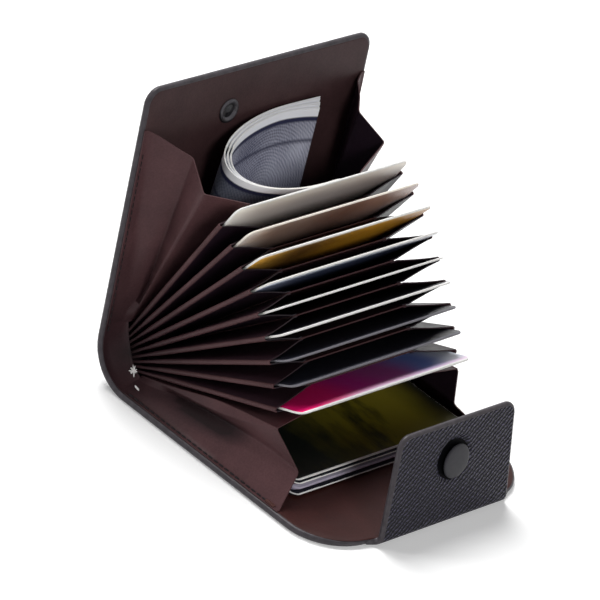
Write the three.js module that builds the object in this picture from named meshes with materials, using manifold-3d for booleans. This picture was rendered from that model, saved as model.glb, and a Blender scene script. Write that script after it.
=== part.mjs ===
// Accordion card wallet standing open like a book: the front cover lies flat, a round spine turns up into
// the back cover, ten divider sheets fan out between them, and a snap flap stands up at the front end.
// Row frame: X from spine to flap, Y along the spine, Z up, all in millimetres.
import * as THREE from 'three';
import Module from 'manifold-3d';

const kernel = await Module();
kernel.setup();
const { Manifold, Mesh: KernelMesh } = kernel;

// Covers
const PANEL_WIDTH = 110.6;
const LEATHER = 1.2;
const LINING = 0.8;
const GLUE_LINE = 0.3;
const LINING_INSET = 0.6;
const SPINE_RADIUS = 18;
const BACK_ANGLE = 95.8;
const BACK_LENGTH = 92.6;
const CORNER_RADIUS = 6;
const FRONT_LENGTH = 99.3;
const SHOULDER_LENGTH = 19.3;
const SHOULDER_HALF = 33;

// Flap
const FLAP_WIDTH = 58.4;
const FLAP_BEND_RADIUS = 3;
const FLAP_FLARE = 2.7;
const FLAP_LEAN = 10.5;
const FLAP_LENGTH = 36;
const FLAP_CORNER = 5;

// Snap fastener
const CAP_DIAMETER = 15;
const CAP_HEIGHT = 1.3;
const SNAP_FROM_TIP = 14.8;
const STUD_FROM_TOP = 15;
const SOCKET_DIAMETER = 11;
const SOCKET_HEIGHT = 2.2;
const STUD_POST_DIAMETER = 4.2;
const STUD_HEIGHT = 3;
const EYELET_DIAMETER = 9;
const EYELET_FROM_TOP = 16;
const EYELET_OFFSET = 13.5;

// Pleated pockets
const SLOTS = 9;
const FAN_MIDDLE = 43.7;
const FAN_PITCH = 5.86;
const BASE_PITCH = 1.92;
const BASE_SETBACK = 8.7;
const BASE_RAISE = 1.7;
const DIVIDER_WIDTH = 54.6;
const DIVIDER_LENGTH = 58.7;
const DIVIDER_SHEET = 0.6;
const PLEAT_SHEET = 0.4;
const PLEAT_WIDTH = 91;
const PLEAT_RISE = 2.3;
const SEAM_INSET = 2.3;
const BACK_SEAM_REACH = 13;
const FRONT_SEAM_REACH = 18;
const BACK_FOLD_INSET = 4.4;
const FRONT_FOLD_INSET = 2;
const BASE_TAB = 4;

// Contents
const CARD_LONG = 85.6;
const CARD_SHORT = 53.98;
const CARD_SHEET = 0.76;
const CARD_CORNER = 3.18;
const CARD_PROUD = [8.3, 8.3, 8.8, 7.5, 6, 6.5, 6.5, 7, 9.5];
const STACK_CARDS = 7;
const STACK_PITCH = 1.05;
const STACK_FROM_SPINE = 16;
const NOTE_HEIGHT = 57.3;
const NOTE_SHEET = 0.35;
const NOTE_COUNT = 3;
const NOTE_SPACING = 0.75;
const NOTE_FOOT = 11;
const NOTE_TILT = 11.7;
const NOTE_FOOT_TILT = 2.5;
const NOTE_BEND = 40;
const NOTE_BEND_MIDDLE = 14;
const NOTE_FILL = 0.95;
const NOTE_FAR_EDGE = 31;
const NOTE_NEAR_EDGE = 25;
const NOTE_FAR_STAGGER = 1.2;
const NOTE_NEAR_STAGGER = 2;

const GAP = 0.3;
const RAD = Math.PI / 180;
const COVER = LEATHER + GLUE_LINE + LINING;
const HALF = PANEL_WIDTH / 2;
const PLEAT_LENGTH = DIVIDER_LENGTH + PLEAT_RISE;

const parts = [];

// Colour, roughness and metalness of each material
const LOOKS = {
  leather: [0x17171c, 0.55, 0],
  brown: [0x4a3432, 0.5, 0],
  metal: [0x2a2a2e, 0.35, 0.9],
  paper: [0xb9bdb2, 0.8, 0],
};

function add(name, geometry, look, colour) {
  const [base, roughness, metalness] = LOOKS[look] ?? [colour, 0.4, 0];
  const material = new THREE.MeshStandardMaterial({ color: colour ?? base, roughness, metalness });
  const mesh = new THREE.Mesh(geometry, material);
  mesh.name = name;
  parts.push(mesh);
}

// Closed solid from matching point loops; faces are the end triangles, turning the same way as the loop
function loft(sections, faces) {
  const count = sections[0].length;
  const positions = sections.flat().flatMap((p) => [p.x, p.y, p.z]);
  const index = [];
  for (let s = 0; s + 1 < sections.length; s += 1) {
    for (let i = 0; i < count; i += 1) {
      const j = (i + 1) % count;
      const a = s * count + i;
      const b = s * count + j;
      if (i < count / 2) {
        index.push(a, b, b + count, a, b + count, a + count);
      } else {
        index.push(a, b, a + count, b, b + count, a + count);
      }
    }
  }
  const last = (sections.length - 1) * count;
  for (const [a, b, c] of faces) {
    index.push(c, b, a, last + a, last + b, last + c);
  }
  return facingOut(positions, index);
}

function outlineFaces(outline) {
  const turn = Math.sign(THREE.ShapeUtils.area(outline));
  return THREE.ShapeUtils.triangulateShape([...outline], []).map((face) => {
    const same = Math.sign(THREE.ShapeUtils.area(face.map((i) => outline[i]))) === turn;
    return same ? face : [face[1], face[0], face[2]];
  });
}

// End triangles of a band whose loop runs out along one side and back along the other
function bandFaces(count) {
  const faces = [];
  for (let i = 0; i + 1 < count / 2; i += 1) {
    faces.push([i, i + 1, count - 2 - i], [i, count - 2 - i, count - 1 - i]);
  }
  return faces;
}

function facingOut(positions, index) {
  let volume = 0;
  const at = (i) => new THREE.Vector3().fromArray(positions, 3 * i);
  for (let t = 0; t < index.length; t += 3) {
    volume += at(index[t]).dot(at(index[t + 1]).cross(at(index[t + 2])));
  }
  if (volume < 0) {
    for (let t = 0; t < index.length; t += 3) {
      [index[t], index[t + 1]] = [index[t + 1], index[t]];
    }
  }
  const geometry = new THREE.BufferGeometry();
  geometry.setAttribute('position', new THREE.Float32BufferAttribute(positions, 3));
  geometry.setIndex(index);
  geometry.computeVertexNormals();
  return geometry;
}

// A tilted plane of the fan: r runs out from a base point at an angle to the front cover, n is its normal
function plane(x, z, degrees) {
  const c = Math.cos(degrees * RAD);
  const s = Math.sin(degrees * RAD);
  return {
    x,
    z,
    degrees,
    point: (r, y, n) => new THREE.Vector3(x + r * c - n * s, y, z + r * s + n * c),
    local: (px, pz) => [(px - x) * c + (pz - z) * s, (pz - z) * c - (px - x) * s],
  };
}

// Flat plate in a plane: outline of (r, y) points between two heights along the normal
function plate(frame, outline, low, high) {
  return loft([low, high].map((n) => outline.map((p) => frame.point(p.x, p.y, n))), outlineFaces(outline));
}

function arc(cx, cy, rx, ry, from, to, steps) {
  const points = [];
  for (let i = 0; i <= steps; i += 1) {
    const angle = (from + ((to - from) * i) / steps) * RAD;
    points.push(new THREE.Vector2(cx + rx * Math.cos(angle), cy + ry * Math.sin(angle)));
  }
  return points;
}

// Rectangle from r0 to r1 and half a width either side, with round far corners and, if asked, near ones
function roundedPlate(r0, r1, half, radius, nearRadius) {
  const near = nearRadius > 0
    ? [
      ...arc(r0 + nearRadius, half - nearRadius, nearRadius, nearRadius, 90, 180, 5),
      ...arc(r0 + nearRadius, nearRadius - half, nearRadius, nearRadius, 180, 270, 5),
    ]
    : [new THREE.Vector2(r0, half), new THREE.Vector2(r0, -half)];
  return [
    ...near,
    ...arc(r1 - radius, radius - half, radius, radius, 270, 360, 6),
    ...arc(r1 - radius, half - radius, radius, radius, 0, 90, 6),
  ];
}

// Band of even thickness along an open path of (y, n) points
function ribbon(path, thickness) {
  const sides = [[], []];
  path.forEach((p, i) => {
    const before = i > 0 ? p.clone().sub(path[i - 1]).normalize() : null;
    const after = i + 1 < path.length ? path[i + 1].clone().sub(p).normalize() : null;
    const u = before ?? after;
    const v = after ?? before;
    const normal = new THREE.Vector2(-u.y - v.y, u.x + v.x).normalize();
    const reach = thickness / 2 / Math.max(0.2, normal.dot(new THREE.Vector2(-u.y, u.x)));
    sides[0].push(p.clone().addScaledVector(normal, reach));
    sides[1].push(p.clone().addScaledVector(normal, -reach));
  });
  return [...sides[0], ...sides[1].reverse()];
}

function mirrored(section) {
  return section.map((p) => new THREE.Vector3(p.x, -p.y, p.z)).reverse();
}

function toKernel(geometry) {
  const vertProperties = new Float32Array(geometry.attributes.position.array);
  const triVerts = new Uint32Array(geometry.index.array);
  return new Manifold(new KernelMesh({ numProp: 3, vertProperties, triVerts }));
}

function united(geometries) {
  const mesh = Manifold.union(geometries.map(toKernel)).getMesh();
  return facingOut(Array.from(mesh.vertProperties), Array.from(mesh.triVerts));
}

// Turned part: profile of (radius, height) points, set on a plane at r with its axis along the normal
function turned(frame, r, side, base, up, profile, open) {
  const steps = 32;
  const positions = [];
  const index = [];
  const rows = profile.map(([radius, height]) => {
    const ring = [];
    const turns = radius > 0 ? steps : 1;
    for (let i = 0; i < turns; i += 1) {
      const angle = (2 * Math.PI * i) / steps;
      const p = frame.point(r + radius * Math.cos(angle), side + radius * Math.sin(angle), base + up * height);
      ring.push(positions.length / 3);
      positions.push(p.x, p.y, p.z);
    }
    return ring;
  });
  const pairs = rows.length - (open ? 0 : 1);
  for (let k = 0; k < pairs; k += 1) {
    const a = rows[k];
    const b = rows[(k + 1) % rows.length];
    for (let i = 0; i < steps; i += 1) {
      const j = (i + 1) % steps;
      if (a.length > 1) {
        index.push(a[i], a[j], b[j % b.length]);
      }
      if (b.length > 1) {
        index.push(a[i % a.length], b[j], b[i]);
      }
    }
  }
  return facingOut(positions, index);
}

// Covers: the leather outside and the lining inside it, each in four lengths
const floor = plane(0, 0, 0);
const spineTurn = 180 - BACK_ANGLE;
const backX = -SPINE_RADIUS * Math.sin(spineTurn * RAD);
const backZ = SPINE_RADIUS * (1 - Math.cos(spineTurn * RAD));
const back = plane(backX, backZ, BACK_ANGLE);
const bendZ = FLAP_BEND_RADIUS;
const flapAngle = 90 + FLAP_LEAN;

function frontOutline(inset) {
  const half = HALF - inset;
  const x0 = FRONT_LENGTH - SHOULDER_LENGTH;
  const drop = HALF - SHOULDER_HALF;
  const curve = [];
  for (let i = 0; i <= 8; i += 1) {
    const t = (i / 8) * (Math.PI / 2);
    curve.push(new THREE.Vector2(x0 + SHOULDER_LENGTH * Math.sin(t), half - drop * (1 - Math.cos(t))));
  }
  const other = curve.map((p) => new THREE.Vector2(p.x, -p.y)).reverse();
  return [new THREE.Vector2(GAP, -half), ...other.reverse(), ...curve.reverse(), new THREE.Vector2(GAP, half)];
}

function spineOutline(outer, inner) {
  const margin = (GAP / SPINE_RADIUS / RAD) * 0.5;
  const from = 270 - margin;
  const to = 270 - spineTurn + margin;
  const far = arc(0, SPINE_RADIUS, outer, outer, from, to, 18);
  return [...far, ...arc(0, SPINE_RADIUS, inner, inner, to, from, 18)];
}

function spineStrip(outer, inner, half) {
  const outline = spineOutline(outer, inner);
  return loft([-half, half].map((y) => outline.map((p) => new THREE.Vector3(p.x, y, p.y))), bandFaces(outline.length));
}

function bendHalf(t, inset) {
  const width = FLAP_WIDTH / 2 + FLAP_FLARE;
  const ease = Math.cos((t * Math.PI) / 2);
  return width + (SHOULDER_HALF - width) * ease * ease - inset;
}

function bendStrip(outer, inner, inset) {
  const steps = 12;
  const sections = [];
  const margin = (GAP / FLAP_BEND_RADIUS / RAD) * 0.5;
  for (let i = 0; i <= steps; i += 1) {
    const angle = (-90 + margin + ((flapAngle - 2 * margin) * i) / steps) * RAD;
    const half = bendHalf(i / steps, inset);
    const at = (radius, y) => new THREE.Vector3(
      FRONT_LENGTH + radius * Math.cos(angle),
      y,
      bendZ + radius * Math.sin(angle),
    );
    sections.push([at(outer, -half), at(outer, half), at(inner, half), at(inner, -half)]);
  }
  return loft(sections, bandFaces(4));
}

// The flap's plane starts at the bend axis; its outer face lies on the negative side of the normal
const flap = plane(FRONT_LENGTH, bendZ, flapAngle);
const layers = [
  ['leather', 0, LEATHER, 0, 'leather'],
  ['lining', LEATHER + GLUE_LINE, COVER, LINING_INSET, 'brown'],
];
for (const [name, low, high, inset, look] of layers) {
  add(`front_${name}`, plate(floor, frontOutline(inset), low, high), look);
  add(`spine_${name}`, spineStrip(SPINE_RADIUS - low, SPINE_RADIUS - high, HALF - inset), look);
  const backOutline = roundedPlate(GAP, BACK_LENGTH - inset, HALF - inset, CORNER_RADIUS, 0);
  add(`back_${name}`, plate(back, backOutline, -high, -low), look);
  add(`flap_bend_${name}`, bendStrip(FLAP_BEND_RADIUS - low, FLAP_BEND_RADIUS - high, inset), look);
  const flapOutline = roundedPlate(GAP, FLAP_LENGTH - inset, FLAP_WIDTH / 2 - inset, FLAP_CORNER, 0);
  flapOutline[0].y += FLAP_FLARE;
  flapOutline[1].y -= FLAP_FLARE;
  add(`flap_${name}`, plate(flap, flapOutline, low - FLAP_BEND_RADIUS, high - FLAP_BEND_RADIUS), look);
}

// Snap: cap and socket clamp the flap, the stud stands on the back cover, a ring sits in the back lining
const snapR = FLAP_LENGTH - SNAP_FROM_TIP;
const capRadius = CAP_DIAMETER / 2;
add('snap_cap', turned(flap, snapR, 0, -FLAP_BEND_RADIUS - GAP, -1, [
  [0, 0],
  [capRadius - 0.2, 0],
  [capRadius, CAP_HEIGHT * 0.35],
  [capRadius * 0.9, CAP_HEIGHT * 0.75],
  [capRadius * 0.6, CAP_HEIGHT * 0.95],
  [0, CAP_HEIGHT],
], false), 'metal');
const socketRadius = SOCKET_DIAMETER / 2;
const socketBore = STUD_POST_DIAMETER / 2 + 0.25;
add('snap_socket', turned(flap, snapR, 0, COVER - FLAP_BEND_RADIUS + GAP, 1, [
  [socketBore, 0],
  [socketRadius, 0],
  [socketRadius, SOCKET_HEIGHT * 0.4],
  [socketRadius * 0.72, SOCKET_HEIGHT * 0.55],
  [socketRadius * 0.66, SOCKET_HEIGHT],
  [socketBore, SOCKET_HEIGHT],
], true), 'metal');
const studR = BACK_LENGTH - STUD_FROM_TOP;
const postRadius = STUD_POST_DIAMETER / 2;
add('snap_stud', turned(back, studR, 0, GAP, 1, [
  [0, 0],
  [socketRadius, 0],
  [socketRadius, STUD_HEIGHT * 0.2],
  [postRadius * 1.3, STUD_HEIGHT * 0.35],
  [postRadius * 0.8, STUD_HEIGHT * 0.5],
  [postRadius, STUD_HEIGHT * 0.8],
  [postRadius * 0.7, STUD_HEIGHT],
  [0, STUD_HEIGHT],
], false), 'metal');
const eyeletRadius = EYELET_DIAMETER / 2;
add('lining_eyelet', turned(back, BACK_LENGTH - EYELET_FROM_TOP, -EYELET_OFFSET, -COVER - GAP, -1, [
  [eyeletRadius * 0.5, 0],
  [eyeletRadius, 0],
  [eyeletRadius * 0.95, CAP_HEIGHT * 0.45],
  [eyeletRadius * 0.75, CAP_HEIGHT * 0.65],
  [eyeletRadius * 0.55, CAP_HEIGHT * 0.45],
], true), 'metal');

// Fan: slot planes carry the cards, divider planes lie half a pitch either side of them
const middle = plane(0, SPINE_RADIUS, FAN_MIDDLE).point(-BASE_SETBACK, 0, BASE_RAISE);
const chord = plane(middle.x, middle.z, FAN_MIDDLE);
function fanPlane(k) {
  const offset = (SLOTS + 1) / 2 - k;
  const p = chord.point(0, 0, offset * BASE_PITCH);
  return plane(p.x, p.z, FAN_MIDDLE + offset * FAN_PITCH);
}
const slots = [];
for (let k = 1; k <= SLOTS; k += 1) {
  slots.push(fanPlane(k));
}
const dividers = [];
for (let k = 1; k <= SLOTS + 1; k += 1) {
  dividers.push(fanPlane(k - 0.5));
}

// Height of another plane's face over a frame at a distance r
function heightOver(frame, other, r, n) {
  const a = other.point(0, 0, n);
  const b = other.point(PLEAT_LENGTH, 0, n);
  const [ra, na] = frame.local(a.x, a.z);
  const [rb, nb] = frame.local(b.x, b.z);
  return na + ((nb - na) * (r - ra)) / (rb - ra);
}

dividers.forEach((frame, i) => {
  const name = `divider_${String(i + 1).padStart(2, '0')}`;
  const outline = roundedPlate(0, DIVIDER_LENGTH, DIVIDER_WIDTH / 2, 1.5, 0);
  add(name, plate(frame, outline, -DIVIDER_SHEET / 2, DIVIDER_SHEET / 2), 'brown');
});

// One folded pocket lining: a pleat on each side, joined by the folded foot along the base
const valleyHalf = DIVIDER_WIDTH / 2 + GAP;
const pleatHalf = PLEAT_WIDTH / 2;
const footLow = 1.4;
const footHigh = 3.4;
const footHalf = 0.28;
const cardStart = (k) => PLEAT_LENGTH + CARD_PROUD[k] - CARD_SHORT;
const cardRoom = Math.min(...CARD_PROUD.map((_, k) => cardStart(k))) - 1;

function pleatPair(frame, stations, pathAt, reachAt) {
  const sections = stations.map((r) => {
    const path = pathAt(r);
    const last = 2 * path.length - 1;
    return ribbon(path, PLEAT_SHEET).map(
      (p, i) => frame.point(r + reachAt(r, Math.min(i, last - i)), p.x, p.y),
    );
  });
  const faces = bandFaces(sections[0].length);
  const right = loft(sections, faces);
  const left = loft(sections.map(mirrored), faces);
  return [left, right];
}

function foot(frame, half) {
  const outline = [[footLow, -half], [footHigh, -half], [footHigh, half], [footLow, half]];
  return plate(frame, outline.map(([x, y]) => new THREE.Vector2(x, y)), -footHalf, footHalf);
}

slots.forEach((frame, i) => {
  const above = dividers[i];
  const below = dividers[i + 1];
  const clear = PLEAT_SHEET / 2 + GAP / 2;
  const pathAt = (r) => {
    const open = Math.min(1, Math.max(0, (r - 2) / (cardRoom - 2)));
    const nose = 0.32 + open * (CARD_SHEET / 2 + GAP + PLEAT_SHEET / 2 - 0.32);
    return [
      new THREE.Vector2(valleyHalf, heightOver(frame, above, r, 0) - clear),
      new THREE.Vector2(pleatHalf, nose),
      new THREE.Vector2(pleatHalf, -nose),
      new THREE.Vector2(valleyHalf, heightOver(frame, below, r, 0) + clear),
    ];
  };
  const mouth = [0, 1, 1, 0].map((share) => share * PLEAT_RISE);
  const reachAt = (r, i) => (r < DIVIDER_LENGTH ? 0 : mouth[i]);
  const sides = pleatPair(frame, [2, cardRoom, DIVIDER_LENGTH], pathAt, reachAt);
  add(`pocket_${i + 1}`, united([...sides, foot(frame, pleatHalf - 0.1)]), 'brown');
});

// Gussets of the two wide compartments: seam on the cover, a valley, a mountain, then the outer divider
const seamHalf = HALF - SEAM_INSET;
function widePocket(name, frame, cover, coverFace, divider, sign, shares, insets, seam) {
  const clear = PLEAT_SHEET / 2 + GAP / 2;
  const reachAt = (r, i) => (r < DIVIDER_LENGTH ? 0 : seam * shares[i]);
  const along = (r, share) => {
    const far = heightOver(frame, cover, r, coverFace) - sign * (GAP + PLEAT_SHEET / 2 + 0.1);
    const near = heightOver(frame, divider, r, 0) + sign * clear;
    return near + (far - near) * share;
  };
  const pathAt = (r) => {
    const inset = r < DIVIDER_LENGTH ? insets[0] : insets[1];
    const reach = [valleyHalf, pleatHalf - 0.5, pleatHalf - inset, seamHalf];
    return reach.map((y, i) => new THREE.Vector2(y, along(r + reachAt(r, i), shares[i])));
  };
  const [left, right] = pleatPair(frame, [footHigh, cardRoom, DIVIDER_LENGTH], pathAt, reachAt);
  add(`${name}_left`, left, 'brown');
  add(`${name}_right`, right, 'brown');
}
const topFrame = plane(fanPlane(-0.2).x, fanPlane(-0.2).z, (BACK_ANGLE + dividers[0].degrees) / 2);
const lowFrame = plane(fanPlane(SLOTS + 1.2).x, fanPlane(SLOTS + 1.2).z, dividers[SLOTS].degrees / 2);
widePocket('back_gusset', topFrame, back, -COVER, dividers[0], 1, [0, 0.25, 0.69, 1], [BACK_FOLD_INSET, BACK_FOLD_INSET],
  BACK_SEAM_REACH);
widePocket('front_gusset', lowFrame, floor, COVER, dividers[SLOTS], -1, [0, 0.1, 0.5, 1], [FRONT_FOLD_INSET, FRONT_FOLD_INSET * 1.5],
  FRONT_SEAM_REACH);

// Base strip behind the fan, tying every divider to both covers
const baseBehind = GAP + 0.5;
const baseTop = dividers[0].point(-baseBehind, 0, 1.5);
const baseLow = dividers[SLOTS].point(-baseBehind, 0, -1.5);
const baseR = back.local(baseTop.x, baseTop.z)[0];
const basePath = [
  back.point(baseR - BASE_TAB, 0, -COVER - GAP - PLEAT_SHEET / 2),
  back.point(baseR - BASE_TAB / 4, 0, -COVER - GAP - PLEAT_SHEET / 2),
  baseTop,
  baseLow,
  floor.point(baseLow.x + 0.3, 0, COVER + GAP),
].map((p) => new THREE.Vector2(p.x, p.z));
const baseOutline = ribbon(basePath, PLEAT_SHEET);
const baseSections = [-pleatHalf, pleatHalf].map((y) => baseOutline.map((p) => new THREE.Vector3(p.x, y, p.y)));
add('bellows_base', loft(baseSections, bandFaces(baseOutline.length)), 'brown');

// Cards in the slots
const CARD_COLOURS = [0xe6dfd2, 0xb79c80, 0xc08a2c, 0x2c3d5e, 0x35363c, 0x2d2f36, 0x8a8a8c, 0x4d4d52, 0xb9479a];
slots.forEach((frame, i) => {
  const start = cardStart(i);
  const outline = roundedPlate(start, start + CARD_SHORT, CARD_LONG / 2, CARD_CORNER, CARD_CORNER);
  const colour = CARD_COLOURS[i % CARD_COLOURS.length];
  add(`card_${i + 1}`, plate(frame, outline, -CARD_SHEET / 2, CARD_SHEET / 2), 'card', colour);
});

// Loose stack of cards on the front lining
const STACK_COLOURS = [0xe4e4e2, 0x8d8a96, 0xd6d6d4, 0x77757f, 0xb8b6bd, 0xe0e0de, 0xa9b04a];
const STACK_SHIFT = [0, 1.2, -0.6, 0.8, -0.9, 0.5, -0.3];
for (let i = 0; i < STACK_CARDS; i += 1) {
  const low = COVER + GAP + i * STACK_PITCH;
  const start = STACK_FROM_SPINE + STACK_SHIFT[i % STACK_SHIFT.length];
  const outline = roundedPlate(start, start + CARD_SHORT, CARD_LONG / 2, CARD_CORNER, CARD_CORNER);
  const colour = STACK_COLOURS[i % STACK_COLOURS.length];
  add(`stack_card_${i + 1}`, plate(floor, outline, low, low + CARD_SHEET), 'card', colour);
}

// Notes bent in a loop between the back cover and the first divider, narrower at the foot
for (let k = 0; k < NOTE_COUNT; k += 1) {
  const tiltAt = (r) => NOTE_FOOT_TILT + ((NOTE_TILT - NOTE_FOOT_TILT) * (r - NOTE_FOOT)) / NOTE_HEIGHT;
  const lapAt = (r) => {
    const far = heightOver(topFrame, back, r, -COVER) - GAP - NOTE_SHEET / 2;
    const near = heightOver(topFrame, dividers[0], r - tiltAt(r), 0) + DIVIDER_SHEET / 2 + GAP + NOTE_SHEET / 2;
    const shrink = NOTE_SPACING * k;
    const high = near + (far - near) * NOTE_FILL - shrink;
    const low = near + shrink;
    const centre = (high + low) / 2;
    const radius = (high - low) / 2;
    const start = NOTE_FAR_EDGE - NOTE_FAR_STAGGER * k;
    const end = NOTE_NEAR_EDGE - NOTE_NEAR_STAGGER * k;
    const turn = arc(NOTE_BEND_MIDDLE, centre, NOTE_BEND - 2 * shrink, radius, 90, 270, 14);
    return [new THREE.Vector2(start, high), ...turn, new THREE.Vector2(end, low)];
  };
  const stations = [0, 0.1, 0.2, 0.4, 0.6, 0.8, 1].map((share) => NOTE_FOOT + NOTE_HEIGHT * share);
  const sections = stations.map((r) => {
    const lap = lapAt(r);
    const [high, low] = [lap[0].y, lap[lap.length - 1].y];
    const last = 2 * lap.length - 1;
    return ribbon(lap, NOTE_SHEET).map((p, i) => {
      const drop = (tiltAt(r) * (high - lap[Math.min(i, last - i)].y)) / (high - low);
      return topFrame.point(r - drop, p.x, p.y);
    });
  });
  add(`note_${k + 1}`, loft(sections, bandFaces(sections[0].length)), 'paper');
}

const wallet = new THREE.Group();
wallet.name = 'card_wallet';
const bounds = new THREE.Box3();
for (const mesh of parts) {
  mesh.geometry.computeBoundingBox();
  bounds.union(mesh.geometry.boundingBox);
}
const shift = -(bounds.min.x + bounds.max.x) / 2;
for (const mesh of parts) {
  mesh.geometry.translate(shift, 0, 0);
  wallet.add(mesh);
}
export default wallet;
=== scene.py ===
import math
import random
from itertools import product

import bmesh
import bpy
import numpy as np
from mathutils import Matrix, Vector


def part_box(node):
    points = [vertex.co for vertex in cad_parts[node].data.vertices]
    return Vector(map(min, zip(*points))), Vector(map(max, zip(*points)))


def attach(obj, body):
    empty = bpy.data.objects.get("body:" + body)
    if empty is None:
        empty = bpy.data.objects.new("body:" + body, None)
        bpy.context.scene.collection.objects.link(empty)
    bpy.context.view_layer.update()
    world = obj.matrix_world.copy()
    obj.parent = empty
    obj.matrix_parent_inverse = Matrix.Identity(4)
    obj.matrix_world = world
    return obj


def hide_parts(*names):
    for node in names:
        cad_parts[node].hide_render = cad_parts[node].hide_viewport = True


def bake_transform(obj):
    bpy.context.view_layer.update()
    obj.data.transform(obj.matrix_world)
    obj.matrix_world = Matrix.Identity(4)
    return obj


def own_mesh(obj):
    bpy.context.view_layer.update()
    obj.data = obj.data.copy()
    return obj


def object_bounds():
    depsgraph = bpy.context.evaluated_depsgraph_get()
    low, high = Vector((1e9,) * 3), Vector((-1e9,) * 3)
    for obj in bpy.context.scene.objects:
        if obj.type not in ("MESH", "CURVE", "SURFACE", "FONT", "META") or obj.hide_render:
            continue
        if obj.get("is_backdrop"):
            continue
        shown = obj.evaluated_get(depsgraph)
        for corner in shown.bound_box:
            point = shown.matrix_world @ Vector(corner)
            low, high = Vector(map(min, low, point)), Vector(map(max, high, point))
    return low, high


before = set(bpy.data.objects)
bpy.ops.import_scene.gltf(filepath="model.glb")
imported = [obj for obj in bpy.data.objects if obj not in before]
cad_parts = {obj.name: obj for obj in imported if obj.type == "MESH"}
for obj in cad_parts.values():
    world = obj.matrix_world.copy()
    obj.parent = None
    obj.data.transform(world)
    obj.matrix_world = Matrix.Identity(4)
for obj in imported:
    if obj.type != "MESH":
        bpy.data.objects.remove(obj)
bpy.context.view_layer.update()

# Sizes in millimetres, as in the solids
MM = 0.001
GAP = 0.3
COVER = 2.3
PANEL_HALF = 55.3
SPINE_RADIUS = 18.0
BACK_ANGLE = 95.8
BACK_LENGTH = 92.6
CORNER = 6.0
FRONT_LENGTH = 99.3
SHOULDER_LENGTH = 19.3
SHOULDER_HALF = 33.0
FAR_SHOULDER = 32.0
FOOT_HALF = 36.0
FLAP_HALF = 29.2
FLAP_FLARE = 2.7
FLAP_BEND = 3.0
FLAP_ANGLE = 100.5
FLAP_LENGTH = 36.0
FLAP_CORNER = 5.0
SNAP_R = FLAP_LENGTH - 14.8
CAP_RADIUS = 7.5
FAN_MIDDLE = 43.7
FAN_PITCH = 5.86
BASE_PITCH = 1.92
DIVIDER_HALF = 27.3
DIVIDER_LENGTH = 58.7
PLEAT_RISE = 2.3
PLEAT_HALF = 45.5
PLEAT_SHEET = 0.4
SEAM_HALF = 53.0
CARD_LONG = 85.6
CARD_SHORT = 53.98
CARD_SHEET = 0.76
CARD_CORNER = 3.18
CARD_PROUD = [8.3, 8.3, 8.8, 7.5, 6, 6.5, 6.5, 7, 9.5]
CARD_ROOM = 12.02
NOTE_HEIGHT = 57.3
STACK_SHIFT = [0, 1.2, -0.6, 0.8, -0.9, 0.5, -0.3]
ORIGIN_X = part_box("front_leather")[0].x / MM - GAP


def metres(x, y, z):
    """Points in metres from coordinates in millimetres."""
    return np.stack(np.broadcast_arrays(x, y, z), -1) * MM


def row(x, y, z):
    return metres(ORIGIN_X + np.asarray(x, float), y, z)


class Plane:
    """A plane through a line along Y: r runs out at an angle to the front cover, n along the normal."""

    def __init__(self, x, z, degrees):
        self.x, self.z, self.degrees = x, z, degrees
        self.c, self.s = math.cos(math.radians(degrees)), math.sin(math.radians(degrees))

    def xz(self, r, n):
        return self.x + r * self.c - n * self.s, self.z + r * self.s + n * self.c

    def at(self, r, y, n):
        x, z = self.xz(np.asarray(r, float), np.asarray(n, float))
        return row(x, y, z)

    def local(self, x, z):
        dx, dz = x - self.x, z - self.z
        return dx * self.c + dz * self.s, dz * self.c - dx * self.s

    def height(self, other, r, n=0.0):
        """Height of another plane's face over this one at r."""
        ra, na = self.local(*other.xz(0.0, n))
        rb, nb = self.local(*other.xz(60.0, n))
        return na + (nb - na) * (np.asarray(r, float) - ra) / (rb - ra)

    def normal(self):
        return (-self.s, 0.0, self.c)


TURN = math.radians(180 - BACK_ANGLE)
SPINE_RUN = SPINE_RADIUS * TURN
BEND_RUN = FLAP_BEND * math.radians(FLAP_ANGLE)
FLOOR = Plane(0, 0, 0)
BACK = Plane(-SPINE_RADIUS * math.sin(TURN), SPINE_RADIUS * (1 - math.cos(TURN)), BACK_ANGLE)
FLAP = Plane(FRONT_LENGTH, FLAP_BEND, FLAP_ANGLE)
MIDDLE = Plane(*Plane(0, SPINE_RADIUS, FAN_MIDDLE).xz(-8.7, 1.7), FAN_MIDDLE)


def fan(k):
    offset = 5 - k
    return Plane(*MIDDLE.xz(0.0, offset * BASE_PITCH), FAN_MIDDLE + offset * FAN_PITCH)


SLOTS = [fan(k) for k in range(1, 10)]
DIVIDERS = [fan(k + 0.5) for k in range(10)]
TOP = Plane(fan(-0.2).x, fan(-0.2).z, (BACK_ANGLE + DIVIDERS[0].degrees) / 2)
LOW = Plane(fan(10.2).x, fan(10.2).z, DIVIDERS[9].degrees / 2)


# Materials
OFF, ON = (0, 0, 0, 1), (1, 1, 1, 1)


def srgb(*c):
    return tuple(((v / 255 + 0.055) / 1.055) ** 2.4 if v > 10 else v / 255 / 12.92 for v in c) + (1.0,)


def run(*stops):
    """Ramp stops, each written as its place and a colour of 0 to 255."""
    return [(at, srgb(*c)) for at, *c in stops]


def tint(color, f):
    return tuple(min(1.0, v * f) for v in color[:3]) + (1.0,)


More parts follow.
